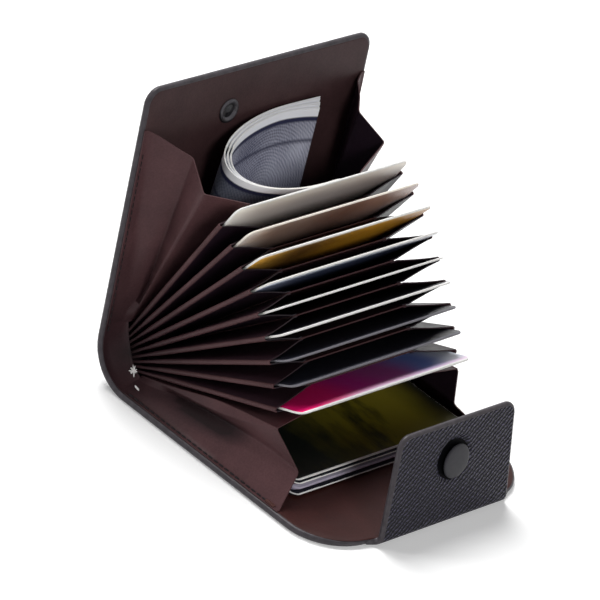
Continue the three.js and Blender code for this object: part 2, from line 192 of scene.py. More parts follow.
class Shader:
    """A material of procedural nodes; dev holds the coordinates of the sheet laid flat, in metres."""

    def __init__(self, name, color, rough, spec=0.5):
        self.m = bpy.data.materials.new(name)
        self.m.use_nodes = True
        self.t = self.m.node_tree
        self.b = self.t.nodes["Principled BSDF"]
        for socket, value in (("Base Color", color), ("Roughness", rough), ("Specular IOR Level", spec)):
            self.b.inputs[socket].default_value = value
        self.m.diffuse_color = color
        self.dev = self.node("ShaderNodeAttribute", attribute_name="dev").outputs["Vector"]

    def node(self, kind, links=(), **values):
        n = self.t.nodes.new(kind)
        for k, v in values.items():
            setattr(n, k, v)
        for socket, value in links:
            if isinstance(value, bpy.types.NodeSocket):
                self.t.links.new(value, n.inputs[socket])
            else:
                n.inputs[socket].default_value = value
        return n

    def link(self, out, socket):
        self.t.links.new(out, self.b.inputs[socket])

    def math(self, op, a, b=0.0, c=0.0):
        return self.node("ShaderNodeMath", [(0, a), (1, b), (2, c)], operation=op).outputs[0]

    def times(self, a, b):
        return self.math("MULTIPLY", a, b)

    def noise(self, scale, detail=3.0, rough=0.5, vector=None):
        links = [("Vector", vector or self.dev), ("Scale", scale), ("Detail", detail), ("Roughness", rough)]
        return self.node("ShaderNodeTexNoise", links).outputs["Fac"]

    def turned(self, turn, across=1.0):
        links = [("Vector", self.dev), ("Scale", (1, across, 1)), ("Rotation", (0, 0, turn))]
        return self.node("ShaderNodeMapping", links).outputs[0]

    def wave(self, vector, scale, twist, detail, fine=1.0, rough=0.5, **kind):
        links = [("Vector", vector), ("Scale", scale), ("Distortion", twist), ("Detail", detail),
                 ("Detail Scale", fine), ("Detail Roughness", rough)]
        return self.node("ShaderNodeTexWave", links, **kind).outputs["Fac"]

    def ramp(self, fac, stops, smooth=False):
        n = self.node("ShaderNodeValToRGB", [("Fac", fac)])
        n.color_ramp.interpolation = "EASE" if smooth else "LINEAR"
        for i, (at, color) in enumerate(stops):
            e = n.color_ramp.elements[i] if i < 2 else n.color_ramp.elements.new(at)
            e.position, e.color = at, color
        return n.outputs["Color"]

    def mix(self, fac, a, b, kind="MIX"):
        links = [(0, fac), (6, a), (7, b)]
        return self.node("ShaderNodeMix", links, data_type="RGBA", blend_type=kind).outputs[2]

    def bump(self, height, strength, distance):
        n = self.node("ShaderNodeBump", [("Height", height), ("Strength", strength), ("Distance", distance)])
        self.link(n.outputs[0], "Normal")

    def range(self, fac, low, high):
        return self.node("ShaderNodeMapRange", [("Value", fac), ("To Min", low), ("To Max", high)]).outputs[0]

    def mottle(self, color, scale, detail, low, high):
        """Base colour that wanders between two tints."""
        stops = [(0.3, tint(color, low)), (0.7, tint(color, high))]
        self.link(self.ramp(self.noise(scale, detail), stops), "Base Color")

    def wear(self, scale, detail, low, high):
        """Roughness that wanders between two values."""
        self.link(self.range(self.noise(scale, detail), low, high), "Roughness")


def brown_leather(name, color, shade=1.0, spec=0.14):
    """Smooth leather with clouds and pores; shade is painted shade deep in at the fan's root, what is left of
    its colour there.
    """
    s = Shader(name, color, 0.42, spec)
    fine = s.noise(1500.0, 4.0, 0.6)
    base = s.ramp(s.noise(70.0, 3.0, 0.55), [(0.3, tint(color, 0.78)), (0.7, tint(color, 1.2))])
    base = s.mix(0.3, base, s.ramp(fine, [(0.35, tint(color, 0.6)), (0.65, tint(color, 1.35))]))
    if shade < 1:
        # Painted shade: darker, and a little purple, nearer the fan's root, read from the root distance
        # attribute
        root = s.node("ShaderNodeAttribute", attribute_name="root").outputs["Fac"]
        stops = [(0.0, (shade * 0.3,) * 3 + (1,)), (0.08, (shade, shade, shade * 1.1, 1)), (0.85, ON)]
        base = s.mix(1.0, base, s.ramp(s.times(root, 20.0), stops), "MULTIPLY")
    s.link(base, "Base Color")
    s.wear(260.0, 2.0, 0.34, 0.5)
    pores = s.node("ShaderNodeTexVoronoi", [("Vector", s.dev), ("Scale", 1900.0)]).outputs["Distance"]
    s.bump(s.math("ADD", s.times(pores, 0.5), fine), 0.28, 0.00007)
    return s.m


# Turn, scale and waviness of the grain's main ridges and of those that cross them
RIDGES = ((0.67, 205.0, 3.4), (-0.5, 215.0, 5.0))


def grain_leather(name):
    """Black leather with pressed slanting ridges, crossed by a weaker set; the ridge tops carry painted
    highlights.
    """
    color = srgb(38, 36, 48)
    s = Shader(name, color, 0.42, 0.24)
    main, cross = [s.wave(s.turned(turn), scale, twist, 3.0, 1.6, 0.65) for turn, scale, twist in RIDGES]
    broken = s.range(s.noise(800.0, 3.0, 0.6, s.turned(RIDGES[0][0], 0.5)), 0.35, 1.35)
    ridge = s.times(s.times(main, s.range(cross, 0.5, 1.0)), broken)
    # Ridge tops painted up to several times brighter, painted highlights for the glints; valleys near black,
    # painted shade
    base = s.ramp(ridge, [(0.15, tint(color, 0.03)), (0.5, tint(color, 2.2)), (0.8, tint(color, 6.5))])
    s.link(s.mix(s.range(s.noise(60.0), 0.0, 0.2), base, tint(color, 0.9)), "Base Color")
    s.link(s.range(ridge, 0.62, 0.28), "Roughness")
    s.bump(s.math("ADD", ridge, s.times(s.noise(2500.0), 0.2)), 1.0, 0.0018)
    return s.m


def edge_paint(name, color):
    s = Shader(name, color, 0.4, 0.22)
    s.mottle(color, 400.0, 3.0, 0.75, 1.3)
    s.wear(900.0, 2.0, 0.3, 0.48)
    s.bump(s.noise(1300.0), 0.2, 0.0001)
    return s.m


def dark_metal(name, color, metallic):
    s = Shader(name, color, 0.34, 0.5 if metallic else 0.2)
    s.b.inputs["Metallic"].default_value = metallic
    s.mottle(color, 900.0, 4.0, 0.8, 1.15)
    s.wear(500.0, 3.0, 0.26, 0.44)
    s.bump(s.noise(3500.0, 2.0), 0.08, 0.00005)
    return s.m


def thread(name, color):
    s = Shader(name, color, 0.7, 0.3)
    s.mottle(color, 3000.0, 2.0, 0.7, 1.2)
    s.bump(s.noise(6000.0, 2.0), 0.4, 0.0001)
    return s.m


def card_face(name, stops, lip=None, border=0.0, hatch=None, blot=None, gloss=0.34):
    """Printed card face: a colour run along the long side; lip is a second colour that fades in from the
    upper edge,
    partly print and partly painted light: lighter where the card stands out of its pocket, darker deeper in;
    border a white rim there, hatch fine slanting lines and blot soft dark shapes."""
    s = Shader(name, stops[len(stops) // 2][1], gloss, 0.2)
    parts = s.node("ShaderNodeSeparateXYZ", [(0, s.dev)])
    cloud = s.math("SUBTRACT", s.noise(40.0), 0.5)
    along = s.math("MULTIPLY_ADD", parts.outputs[0], 1 / (CARD_LONG * MM), 0.5)
    color = s.ramp(s.math("MULTIPLY_ADD", cloud, 0.16, along), stops, True)
    down = s.math("SUBTRACT", CARD_SHORT * MM, parts.outputs[1])
    if hatch:
        lines = s.wave(s.turned(0.75), 420.0, 2.0, 2.0)
        color = s.mix(s.times(lines, hatch[1]), color, hatch[0])
    if blot:
        broad = s.noise(90.0, 5.0, 0.65, s.turned(0.4, 0.35))
        reach = s.math("MULTIPLY_ADD", along, -blot[1], broad)
        color = s.mix(s.ramp(reach, [(0.2, OFF), (0.42, ON)]), color, blot[0])
    if lip:
        amount = s.math("DIVIDE", s.math("MULTIPLY_ADD", cloud, 0.003, down), lip[1] * MM)
        fade = s.ramp(amount, [(0.0, ON), (1.0, OFF)], True)
        if len(lip) > 2:
            fade = s.times(fade, s.ramp(along, [(lip[2], OFF), (lip[2] + 0.35, ON)]))
        color = s.mix(fade, color, lip[0])
    if border:
        white = s.ramp(s.math("DIVIDE", down, border * MM), [(0.85, ON), (1.0, OFF)])
        color = s.mix(white, color, srgb(240, 240, 240))
    s.link(color, "Base Color")
    s.wear(300.0, 2.0, gloss * 0.8, gloss * 1.3)
    return s.m


def card_edge(name, color):
    s = Shader(name, color, 0.5, 0.15)
    s.mottle(color, 700.0, 2.0, 0.9, 1.05)
    return s.m


def note_paper(name, ink, light):
    """Paper with a white border, two dark rules and rings of fine lines on a soft tone."""
    pale = srgb(240, 241, 246)
    s = Shader(name, pale, 0.7, 0.25)
    parts = s.node("ShaderNodeSeparateXYZ", [(0, s.dev)])
    up = s.times(parts.outputs[1], 1 / (NOTE_HEIGHT * MM))
    links = [(0, s.dev), (1, (-0.022, -0.027, 0))]
    centre = s.node("ShaderNodeVectorMath", links, operation="ADD").outputs[0]
    rings = s.wave(centre, 260.0, 1.4, 1.0, 0.8, wave_type="RINGS", rings_direction="Z")
    weave = s.wave(s.turned(0.6), 330.0, 7.0, 1.0)
    tone = s.math("ADD", s.times(s.noise(34.0), 0.9), s.times(rings, 0.12))
    tone = s.math("MULTIPLY_ADD", weave, 0.1, tone)
    body = s.ramp(tone, [(0.3, ink), (0.85, light)])
    strengths = ((0.76, 0), (0.785, 0.8), (0.805, 0.1), (0.91, 0.15), (0.925, 1), (0.945, 1))
    rules = s.ramp(up, [(at, (v, v, v, 1)) for at, v in strengths])
    color = s.mix(rules, body, srgb(34, 36, 62))
    border = s.ramp(up, [(0.05, ON), (0.06, OFF), (0.945, OFF), (0.953, ON)])
    s.link(s.mix(border, color, pale), "Base Color")
    s.bump(s.noise(900.0), 0.15, 0.0001)
    return s.m


FLOOR_GLOW = 0.2


def seen(tree):
    """One for rays that the camera sees straight, mirrored or through something, else zero."""
    rays = tree.nodes.new("ShaderNodeLightPath").outputs
    last = rays["Is Camera Ray"]
    for ray in ("Is Glossy Ray", "Is Transmission Ray"):
        node = tree.nodes.new("ShaderNodeMath")
        node.operation = "MAXIMUM"
        tree.links.new(last, node.inputs[0])
        tree.links.new(rays[ray], node.inputs[1])
        last = node.outputs[0]
    return last


def plain_floor(name):
    s = Shader(name, (0.9, 0.9, 0.9, 1), 0.8, 0.2)
    s.wear(3.0, 2.0, 0.78, 0.84)
    s.b.inputs["Emission Color"].default_value = ON
    s.link(s.times(seen(s.t), FLOOR_GLOW), "Emission Strength")
    return s.m


# The last number of a brown leather is the painted shade at the fan's root: what is left of its colour there
BROWN = brown_leather("brown_leather", srgb(76, 52, 54), 0.3)
# Near-black copy of the brown leather: painted shade for the inside faces of pockets and gussets
BROWN_INSIDE_SHADE = brown_leather("brown_pocket_inside_painted_shade", srgb(30, 20, 28), 0.4)
# Darker copy of the brown leather: painted shade for the upper pocket walls between the noses
BROWN_WALL_SHADE = brown_leather("pocket_wall_painted_shade", srgb(46, 31, 37), 0.35)
BROWN_DEEP = brown_leather("front_lining_leather", srgb(52, 26, 24), 0.35)
BROWN_BACK = brown_leather("back_lining_leather", srgb(60, 42, 43), 0.35)
# Dark copy of the lining leather: painted shade for the inside of the spine
SPINE_LINING_SHADE = brown_leather("spine_lining", srgb(32, 25, 28))
GRAIN = grain_leather("black_grain_leather")
PAINT = edge_paint("painted_edge", srgb(60, 56, 60))
METAL = dark_metal("dark_metal", srgb(72, 70, 74), 0.8)
MATT = dark_metal("snap_cap_lacquer", srgb(40, 39, 44), 0.0)
# Near-black, nearly glossless leather: painted shade in the recess round the snap cap
SNAP_RECESS_SHADE = brown_leather("snap_recess_painted_shade", srgb(7, 7, 9), spec=0.02)
SHADE = dark_metal("eyelet_centre", srgb(30, 29, 33), 0.4)
DARK_THREAD = thread("dark_thread", srgb(17, 12, 15))
RED_THREAD = thread("tack_thread", srgb(84, 54, 50))
WHITE_THREAD = thread("white_thread", srgb(244, 241, 236))


# Mesh making
FAN_ROOT = row(-9.0, 0.0, 12.0)[[0, 2]]


def linked(name, data):
    obj = bpy.data.objects.new(name, data)
    bpy.context.scene.collection.objects.link(obj)
    return obj


def build(name, verts, faces, dev, materials, picks=None, sharp=0.75):
    mesh = bpy.data.meshes.new(name)
    mesh.from_pydata([tuple(v) for v in verts], [], faces)
    for m in materials:
        mesh.materials.append(m)
    if picks is not None:
        mesh.polygons.foreach_set("material_index", picks)
    flat = np.asarray(dev, np.float32).ravel()
    mesh.attributes.new("dev", "FLOAT_VECTOR", "POINT").data.foreach_set("vector", flat)
    # Distance from the fan's root; the brown leathers darken towards it as painted shade
    far = np.linalg.norm(np.asarray(verts, float)[:, [0, 2]] - FAN_ROOT, axis=1)
    mesh.attributes.new("root", "FLOAT", "POINT").data.foreach_set("value", far.astype(np.float32))
    work = bmesh.new()
    work.from_mesh(mesh)
    bmesh.ops.recalc_face_normals(work, faces=work.faces)
    work.to_mesh(mesh)
    work.free()
    mesh.polygons.foreach_set("use_smooth", [True] * len(mesh.polygons))
    mesh.set_sharp_from_angle(angle=sharp)
    return linked(name, mesh)


class Heap:
    """Collects several closed bodies into one mesh."""

    def __init__(self):
        self.verts, self.faces, self.dev, self.picks = [], [], [], []

    def add(self, verts, faces, dev, pick=0):
        start = len(self.verts)
        self.verts += [tuple(v) for v in verts]
        self.dev += [tuple(v) for v in dev]
        self.faces += [tuple(start + i for i in f) for f in faces]
        self.picks += list(pick) if isinstance(pick, (list, tuple)) else [pick] * len(faces)

    def done(self, name, materials, sharp=0.75):
        return build(name, self.verts, self.faces, self.dev, materials, self.picks, sharp)


NEAR = np.array([0.0, 0.05, 0.18, 0.4, 0.7, 1.0])


def edge_distance(points, segments):
    a, b = segments[:, :2], segments[:, 2:]
    ab = b - a
    t = ((points[:, None, :] - a) * ab).sum(-1) / np.maximum((ab * ab).sum(-1), 1e-12)
    near = a + np.clip(t, 0, 1)[..., None] * ab
    return np.linalg.norm(points[:, None, :] - near, axis=-1).min(1)


def quads(ids, wrap=False):
    """Four-sided faces of a grid of point numbers."""
    if wrap:
        ids = np.hstack([ids, ids[:, :1]])
    corners = np.stack([ids[:-1, :-1], ids[:-1, 1:], ids[1:, 1:], ids[1:, :-1]], -1)
    return [tuple(face) for face in corners.reshape(-1, 4).tolist()]


def clean(faces):
    """Faces without repeated corners, and none with fewer than three."""
    faces = [tuple(dict.fromkeys(face)) for face in faces]
    return [face for face in faces if len(face) > 2]


def rows_between(low, high, step, edge, extra=(), free=(True, True)):
    values = list(np.linspace(low, high, max(3, int((high - low) / step) + 1)))
    if free[0]:
        values += list(low + edge * NEAR)
    if free[1]:
        values += list(high - edge * NEAR)
    values += list(extra)
    kept = []
    for v in sorted(values):
        if not kept or v - kept[-1] > 0.012:
            kept.append(v)
    kept[-1] = high
    return np.array(kept)


def slab(S, half, low, high, edge, place, cols=15, free=(True, True), rim=None, dev=None, outer=None):
    """Closed sheet with round edges: rows at S with half widths, between two heights, by place(s, y, n)."""
    W = half(S)
    offs = edge * NEAR
    inner = np.linspace(-1, 1, cols)[1:-1]
    rims = W[:, None] - offs
    Y = np.hstack([-rims, inner * (W[:, None] - edge), rims[:, ::-1]])
    SS = np.repeat(S[:, None], Y.shape[1], 1)
    sides = np.stack([S[:-1], W[:-1], S[1:], W[1:]], 1)
    segments = [sides, sides * [1, -1, 1, -1]]
    for end in (0, -1):
        if free[end]:
            segments.append([[S[end], -W[end], S[end], W[end]]])
    segments = np.vstack(segments)
    D = edge_distance(np.stack([SS, Y], -1).reshape(-1, 2), segments).reshape(Y.shape)
    D[D < 1e-4] = 0
    rise = np.sqrt(np.clip(1 - (1 - np.clip(D / edge, 0, 1)) ** 2, 0, 1)) * (high - low) / 2
    mid = (low + high) / 2
    under = mid - rise
    if outer is not None:
        under = under + outer(SS, Y) * np.clip(D / edge, 0, 1)
    top, bottom = place(SS, Y, mid + rise), place(SS, Y, under)
    rows, columns = Y.shape
    index = np.arange(rows * columns).reshape(rows, columns)
    shared = D == 0
    lower = np.where(shared, index, 0)
    lower[~shared] = rows * columns + np.arange((~shared).sum())
    verts = np.vstack([top.reshape(-1, 3), bottom[~shared]])
    to_dev = dev or metres
    flat = np.vstack([to_dev(SS, Y, mid + rise).reshape(-1, 3), to_dev(SS, Y, under)[~shared]])
    rim = edge * 0.75 if rim is None else rim
    at_rim = [D[i:i + 2, j:j + 2].mean() < rim for i, j in np.ndindex(rows - 1, columns - 1)]
    faces = quads(index) + [face[::-1] for face in quads(lower)]
    picks = [2 if r else 0 for r in at_rim] + [2 if r else 1 for r in at_rim]
    for end in (0, -1):
        if not free[end]:
            caps = clean(quads(np.stack([index[end], lower[end]])))
            faces += caps
            picks += [2] * len(caps)
    return verts, faces, flat, picks


def band(R, paths, plane, thickness, dev_shift=(0.0, 0.0), place=None):
    """Closed strip of even thickness: one path of (y, n) points for each station, at R[station, point]."""
    paths = np.asarray(paths, float)
    R = np.broadcast_to(np.asarray(R, float), paths.shape[:2])
    step = np.diff(paths, axis=1)
    step /= np.maximum(np.linalg.norm(step, axis=2, keepdims=True), 1e-9)
    ahead = np.hstack([step, step[:, -1:]])
    behind = np.hstack([step[:, :1], step])
    along = ahead + behind
    along /= np.maximum(np.linalg.norm(along, axis=2, keepdims=True), 1e-9)
    normal = np.stack([-along[..., 1], along[..., 0]], -1)
    square = np.stack([-ahead[..., 1], ahead[..., 0]], -1)
    reach = thickness / 2 / np.maximum((normal * square).sum(-1, keepdims=True), 0.45)
    stations, count = R.shape
    lengths = np.cumsum(np.linalg.norm(np.diff(paths, axis=1), axis=2), 1)
    travel = np.hstack([np.zeros((stations, 1)), lengths])
    loops, flats = [], []
    for side in (1, -1):
        p = paths + normal * reach * side
        pts = (place or plane.at)(R, p[..., 0], p[..., 1])
        level = np.full_like(R, side * thickness / 2)
        flat = np.stack([travel + dev_shift[0], R + dev_shift[1], level], -1) * MM
        loops.append(pts[:, ::side])
        flats.append(flat[:, ::side])
    verts = np.hstack(loops).reshape(-1, 3)
    flat = np.hstack(flats).reshape(-1, 3)
    ring = np.arange(stations * 2 * count).reshape(stations, -1)
    faces = quads(ring, True)
    for end in ring[[0, -1]]:
        faces += quads(np.stack([end[:count], end[::-1][:count]]))
    return verts, faces, flat


def strip_sides(stations, count):
    """For each face of a band 0 or 1 for the side it is on, and 2 on the rims."""
    return ([0] * (count - 1) + [2] + [1] * (count - 1) + [2]) * (stations - 1) + [2] * (2 * count - 2)


def lathe(profile, place, steps=48, closed=False):
    """Turned form: profile of (radius, height), place(u, v, height) sets a point."""
    verts, rings = [], []
    for radius, height in profile:
        start = len(verts)
        count = steps if radius > 0 else 1
        for i in range(count):
            a = 2 * math.pi * i / steps
            verts.append((radius * math.cos(a), radius * math.sin(a), height))
        rings.append([start + i % count for i in range(steps)])
    faces = quads(np.array(rings + rings[:1] if closed else rings), True)
    v = np.array(verts)
    return place(v[:, 0], v[:, 1], v[:, 2]), clean(faces), v * MM


def smooth_profile(points, rounds=2):
    """Corner cutting on an open profile; the two ends stay."""
    points = [np.array(p, float) for p in points]
    for _ in range(rounds):
        out = [points[0]]
        for a, b in zip(points, points[1:]):
            out += [a * 0.78 + b * 0.22, a * 0.22 + b * 0.78]
        points = out + [points[-1]]
    return [tuple(p) for p in points]


def tube(points, radius, sides=6):
    """Round thread along points, closed with small domes."""
    p = np.asarray(points, float)
    t = np.gradient(p, axis=0)
    t /= np.maximum(np.linalg.norm(t, axis=1, keepdims=True), 1e-12)
    side = np.cross(t, (0.31, 0.83, 0.46))
    side /= np.linalg.norm(side, axis=1, keepdims=True)
    up = np.cross(t, side)
    scale = np.ones(len(p))
    scale[[0, -1]] = 0.45
    angles = np.linspace(0, 2 * math.pi, sides, endpoint=False)
    rings = p[:, None] + radius * scale[:, None, None] * (
        np.cos(angles)[None, :, None] * side[:, None] + np.sin(angles)[None, :, None] * up[:, None])
    verts = rings.reshape(-1, 3)
    ring = np.arange(len(verts)).reshape(len(p), sides)
    return verts, quads(ring, True) + [tuple(end) for end in ring[[0, -1]].tolist()], verts


def fillet(points, share, steps=5):
    """Polyline with its inner corners rounded; points has the shape (stations, corners, 2)."""
    points = np.asarray(points, float)
    out = [points[:, 0]]
    for i in range(1, points.shape[1] - 1):
        a = points[:, i] + (points[:, i - 1] - points[:, i]) * share
        b = points[:, i] + (points[:, i + 1] - points[:, i]) * share
        for t in np.linspace(0, 1, steps):
            out.append(a * (1 - t) ** 2 + points[:, i] * 2 * t * (1 - t) + b * t * t)
    return np.stack(out + [points[:, -1]], 1)


def divide(points, parts=3):
    """Each stretch of the paths cut into equal parts."""
    out = [points[:, 0]]
    for i in range(points.shape[1] - 1):
        stretch = points[:, i + 1] - points[:, i]
        out += [points[:, i] + stretch * t for t in np.linspace(0, 1, parts + 1)[1:]]
    return np.stack(out, 1)


STITCH_PITCH, STITCH_LENGTH = 2.6, 1.9


def strands(name, lines, radius, material):
    heap = Heap()
    for line in lines:
        heap.add(*tube(line, radius * MM))
    return heap.done(name, [material])


def stitches(name, place, start, end, radius):
    """Row of short round stitches; place(t) sets the point at t millimetres along the seam."""
    lines = [[place(at + STITCH_LENGTH * u) for u in (0, 0.12, 0.5, 0.88, 1)]
             for at in np.arange(start, end, STITCH_PITCH)]
    return strands(name, lines, radius, DARK_THREAD)


def put(obj, body, slot, *nodes):
    if nodes:
        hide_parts(*nodes)
    if body:
        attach(obj, body)
    return obj


def press(obj, plane, n):
    """Gives the object its own copy of its mesh; it is not thinned across the plane."""
    plane.normal()
    tuple(plane.at(0.0, 0.0, n))
    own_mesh(obj)


def smoothstep(t):
    t = np.clip(t, 0, 1)
    return t * t * (3 - 2 * t)


# Covers: an outer leather sheet with a painted round edge, and a thinner lining sheet on its inside
def corner_rows(length, radius, low=None):
    angles = np.radians(np.linspace(0, 90, 10))
    values = list(length - radius + radius * np.sin(angles))
    if low is not None:
        values += list(low + radius - radius * np.sin(angles))
    return values


def rounded_half(half, length, radius, low=None):
    def width(s):
        s = np.asarray(s, float)
        over = np.clip(s - (length - radius), 0, radius)
        if low is not None:
            over = np.maximum(over, np.clip(low + radius - s, 0, radius))
        return half - radius + np.sqrt(np.maximum(radius ** 2 - over ** 2, 0))
    return width


def front_half(inset):
    def width(s):
        t = np.clip((s - FRONT_LENGTH + SHOULDER_LENGTH) / SHOULDER_LENGTH, 0, 1)
        return PANEL_HALF - inset - (PANEL_HALF - SHOULDER_HALF) * (1 - np.sqrt(1 - t * t))
    return width


def bend_half(inset):
    foot = FLAP_HALF + FLAP_FLARE
    return lambda s: foot - inset + (FOOT_HALF - foot) * (1 - np.clip(s / BEND_RUN, 0, 1)) ** 3


def flap_half(inset):
    straight = rounded_half(FLAP_HALF - inset, FLAP_LENGTH - inset, FLAP_CORNER - inset)
    return lambda s: straight(s) + FLAP_FLARE * np.clip(1 - s / (FLAP_LENGTH - FLAP_CORNER), 0, 1)


def on_front(s, y, n):
    """The far shoulder draws in sooner than the near one."""
    t = np.clip((s - FRONT_LENGTH + FAR_SHOULDER) / FAR_SHOULDER, 0, 1)
    far = PANEL_HALF - (PANEL_HALF - SHOULDER_HALF) * (1 - np.sqrt(1 - t * t))
    return row(s, np.where(np.asarray(y) > 0, y * far / front_half(0.0)(s), y), n)


def on_spine(s, y, n):
    a = s / SPINE_RADIUS
    return row(-(SPINE_RADIUS - n) * np.sin(a), y, SPINE_RADIUS - (SPINE_RADIUS - n) * np.cos(a))


def on_back(s, y, n):
    return BACK.at(s, y, -n)


def on_bend(s, y, n):
    a = s / FLAP_BEND - math.pi / 2
    return row(FRONT_LENGTH + (FLAP_BEND - n) * np.cos(a), y, FLAP_BEND + (FLAP_BEND - n) * np.sin(a))


def on_flap(s, y, n):
    return FLAP.at(s, y, n - FLAP_BEND)


def snap_recess(s, y):
    """The flap's face sinks in around the cap, deeper on the upper left side."""
    d = np.hypot(s - SNAP_R, y)
    tilt = 0.75 + 0.6 * ((s - SNAP_R) - y) / CAP_RADIUS
    return 0.95 * np.clip(tilt, 0.15, 1.5) * (1 - smoothstep((d - CAP_RADIUS * 0.93) / 2.2))


def spine_half(inset):
    return lambda s: PANEL_HALF - inset + 0 * s


def back_half(inset):
    return rounded_half(PANEL_HALF - inset, BACK_LENGTH - inset, CORNER - inset)


SPINE_ENDS = tuple(on_spine(0.0, 0.0, 0.0)), tuple(on_spine(SPINE_RUN, 0.0, 0.0))
EDGE = 1.1
LINING_EDGE = 0.3
LINING_IN = 1.25
LINING_LEVELS = (COVER - 0.2, COVER + 0.12)
RECESS_SHADE_RADIUS = CAP_RADIUS * 0.98
RECESS_COLS, SHEET_COLS = 130, 25
# Name, length, half width, placing, whether the far end is free, row step, start and direction laid flat
SHEETS = [
    ("front", FRONT_LENGTH, front_half, on_front, False, 2.5, 0.0, 1.0),
    ("spine", SPINE_RUN, spine_half, on_spine, False, 1.0, 0.0, -1.0),
    ("back", BACK_LENGTH, back_half, on_back, True, 2.5, -SPINE_RUN, -1.0),
    ("flap_bend", BEND_RUN, bend_half, on_bend, False, 0.25, FRONT_LENGTH, 1.0),
    ("flap", FLAP_LENGTH, flap_half, on_flap, True, 0.45, FRONT_LENGTH + BEND_RUN, 1.0),
]
BODY = {"front": "front_cover", "back": "back_cover", "flap": "flap"}
LINING = {"spine": SPINE_LINING_SHADE, "back": BROWN_BACK}
for (name, length, half, place, free_end, step, shift, sign), layer in product(SHEETS, ("leather", "lining")):
    leather = layer == "leather"
    inset = 0.0 if leather else LINING_IN
    edge = EDGE if leather else LINING_EDGE
    end = length - (inset if free_end else 0.0)
    extra = ()
    if name == "front":
        extra = FRONT_LENGTH - SHOULDER_LENGTH * (1 - np.sin(np.radians(np.linspace(0, 90, 19))))
    elif free_end:
        extra = corner_rows(end, (CORNER if name == "back" else FLAP_CORNER) - inset)
    free = (False, free_end)
    S = rows_between(0.0, end, step, edge, extra, free)

    def dev(s, y, n):
        return metres(shift + sign * s, y, n)

    levels = (0.0, COVER) if leather else LINING_LEVELS
    outer = snap_recess if leather and name == "flap" else None
    cols = RECESS_COLS if outer else SHEET_COLS
    verts, faces, flat, picks = slab(S, half(inset), *levels, edge, place, cols, free, EDGE, dev, outer)
    # The flap's outer faces inside the recess take the near-black leather: painted shade for the dark
    # crescent
    if outer:
        middle = np.array([flat[list(f)].mean(0) for f in faces]) / MM - (shift + SNAP_R, 0, 0)
        in_recess_shade = np.hypot(middle[:, 0], middle[:, 1]) < RECESS_SHADE_RADIUS
        picks = [3 if pick == 1 and gap else pick for pick, gap in zip(picks, in_recess_shade)]
    materials = [PAINT, GRAIN, PAINT, SNAP_RECESS_SHADE] if leather else [LINING.get(name, BROWN_DEEP)] * 3
    obj = build(f"{name}_{layer}_sheet", verts, faces, flat, materials, picks)
    put(obj, BODY.get(name), "black_leather" if leather else "brown_leather", f"{name}_{layer}")
    if name == "spine":
        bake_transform(obj)
    elif name == "flap_bend":
        tuple(on_bend(0.0, 0.0, 0.0))
        tuple(on_bend(BEND_RUN, 0.0, 0.0))
        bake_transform(obj)


# Dividers
LEAF = 0.3
LEAF_CORNER = 1.5
leaf_rows = rows_between(0.0, DIVIDER_LENGTH, 4.0, LEAF, corner_rows(DIVIDER_LENGTH, LEAF_CORNER))
leaf_half = rounded_half(DIVIDER_HALF, DIVIDER_LENGTH, LEAF_CORNER)
for i, plane in enumerate(DIVIDERS):
    sheet = slab(leaf_rows, leaf_half, -LEAF, LEAF, LEAF, plane.at, 9)[:3]
    obj = build(f"divider_{i + 1:02d}_sheet", *sheet, [BROWN])
    put(obj, f"leaf_{i + 1:02d}", "brown_leather", f"divider_{i + 1:02d}")


# Slot pockets: a round fold on each side, a wall from it to the divider above and one to the divider below
STATIONS = np.array([2, 3.5, 5, 7, 9.5, CARD_ROOM, 16, 21, 27, 33, 39, 45, 50, 54, 57, DIVIDER_LENGTH])
VALLEY = DIVIDER_HALF + GAP
VALLEY_IN = 2.4
WALL_ANCHOR = 0.457
ROOT_NOSE = 0.32
NOSE = CARD_SHEET / 2 + 0.08 + PLEAT_SHEET / 2
WALL_SHARES = np.array([0, 0.06, 0.14, 0.26, 0.4, 0.55, 0.7, 0.85, 1.0])
FOOT_SHEET, FOOT_EDGE = 0.28, 0.25
FLAT_STEP = 70.0
nose = ROOT_NOSE + smoothstep((STATIONS - 4) / (CARD_ROOM - 4)) * (NOSE - ROOT_NOSE)
rise = np.where(STATIONS >= DIVIDER_LENGTH - 0.01, PLEAT_RISE, 0.0)
centre = PLEAT_HALF - nose
arc = np.radians(np.linspace(90, -90, 9))
fold_nose = np.hstack([[0.22, 0.3, ROOT_NOSE], nose])[:, None]
fold_y = PLEAT_HALF - fold_nose + fold_nose * np.cos(arc)
foot = rows_between(1.4, 3.4, 1.0, FOOT_EDGE)
